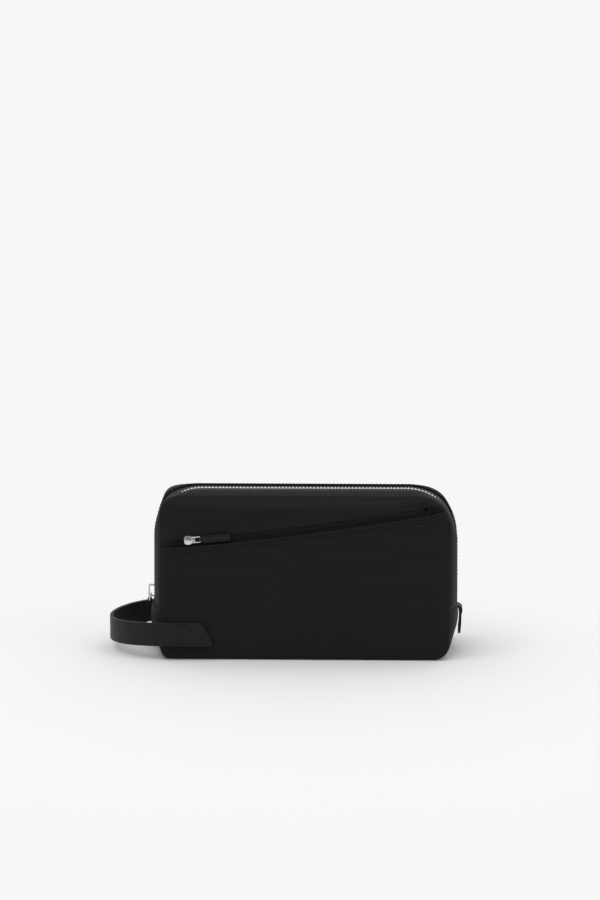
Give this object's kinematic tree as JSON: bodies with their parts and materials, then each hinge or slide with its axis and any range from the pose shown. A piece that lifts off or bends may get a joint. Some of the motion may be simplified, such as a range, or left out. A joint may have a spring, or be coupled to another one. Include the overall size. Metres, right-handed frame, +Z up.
{
  "type": "shaving kit bag",
  "caption": "Padded zip-top wash bag with a slanted zipped front pocket, a leather side strap and a leather holding tab at the zip's end.",
  "frame": {"origin": "middle of the flat underside of the bag's body, on the table", "axes": "+X along the width towards the holding tab, the strap is at -X; -Y is the front with the pocket; +Z up"},
  "size_m": [0.3056, 0.0942, 0.141],
  "materials": {
    "shell_cloth": "black water-repellent cloth with a fine sideways grain, matt with a soft sheen",
    "base_board": "plain stiffener board, hidden under the lining",
    "zip_tape": "black woven zip tape",
    "zip_teeth": "polished nickel teeth",
    "coil": "black nylon coil",
    "hardware": "polished nickel",
    "lining": "smooth dark grey lining cloth",
    "strap_leather": "black leather, fine grain, burnished edges",
    "strap_lining": "black leather, flesh side smoothed",
    "pull_leather": "black leather folded and stitched"
  },
  "bodies": {
    "bag": {"base_gusset": "shell_cloth", "base_board": "base_board", "back_panel": "shell_cloth", "front_panel_lower": "shell_cloth", "pocket_panel_lower": "shell_cloth", "zip_gusset_rear": "shell_cloth", "zip_tape_rear": "zip_tape", "zip_teeth_rear": "zip_teeth", "zip_top_stops": "hardware", "zip_bottom_stop": "hardware", "lining_tub": "lining", "lining_back": "lining", "inner_pocket": "lining", "strap": "strap_leather", "strap_lining": "strap_lining"},
    "front_shell": {"front_panel_upper": "shell_cloth", "pocket_panel_upper": "shell_cloth", "zip_gusset_front": "shell_cloth", "zip_tape_front": "zip_tape", "zip_teeth_front": "zip_teeth", "lining_front": "lining", "pocket_zip_tape_upper": "zip_tape", "pocket_zip_tape_lower": "zip_tape", "pocket_zip_coil_upper": "coil", "pocket_zip_coil_lower": "coil", "pocket_zip_stops": "hardware"},
    "holding_tab": {"holding_tab": "strap_leather"},
    "main_slider": {"main_slider_body": "hardware", "main_slider_bridge": "hardware"},
    "main_link": {"main_pull_link": "hardware"},
    "main_pull": {"main_pull_tab": "pull_leather"},
    "pocket_slider": {"pocket_slider_body": "hardware", "pocket_slider_bridge": "hardware"},
    "pocket_link": {"pocket_pull_link": "hardware"},
    "pocket_pull": {"pocket_pull_tab": "pull_leather"}
  },
  "joints": [
    {"name": "mouth_open", "type": "hinge", "parent": "bag", "child": "front_shell", "pos_m": [0, -0.04207, 0.0405], "axis": [1, 0, 0], "range_deg": [0, 30], "deforming": ["zip_teeth_front"]},
    {"name": "main_slider_run", "type": "slide", "parent": "bag", "child": "main_slider", "axis": [0, 0, 1], "range_m": [0, 0.045], "deforming": ["zip_teeth_rear", "zip_teeth_front"]},
    {"name": "main_link_swing", "type": "hinge", "parent": "main_slider", "child": "main_link", "pos_m": [-0.13398, 0, 0.04652], "axis": [0, 1, 0], "range_deg": [-8, 105]},
    {"name": "main_pull_swing", "type": "hinge", "parent": "main_link", "child": "main_pull", "pos_m": [-0.13502, 0, 0.04163], "axis": [0, 1, 0], "range_deg": [0, 50]},
    {"name": "pocket_slider_run", "type": "hinge", "parent": "front_shell", "child": "pocket_slider", "pos_m": [-0.30674, 0.2563, 2.42008], "axis": [0, -0.9924, 0.1231], "range_deg": [0, 4.84], "deforming": ["pocket_zip_coil_upper", "pocket_zip_coil_lower"]},
    {"name": "pocket_link_swing", "type": "hinge", "parent": "pocket_slider", "child": "pocket_link", "pos_m": [-0.09638, -0.03643, 0.10285], "axis": [0.0889, -0.1227, -0.9885], "range_deg": [0, 120]},
    {"name": "pocket_pull_swing", "type": "hinge", "parent": "pocket_link", "child": "pocket_pull", "pos_m": [-0.0894, -0.03635, 0.10347], "axis": [0.0889, -0.1227, -0.9885], "range_deg": [0, 50]},
    {"name": "holding_tab_lift", "type": "hinge", "parent": "bag", "child": "holding_tab", "pos_m": [0.1326, 0, 0.04], "axis": [0, -1, 0], "range_deg": [0, 75]}
  ]
}
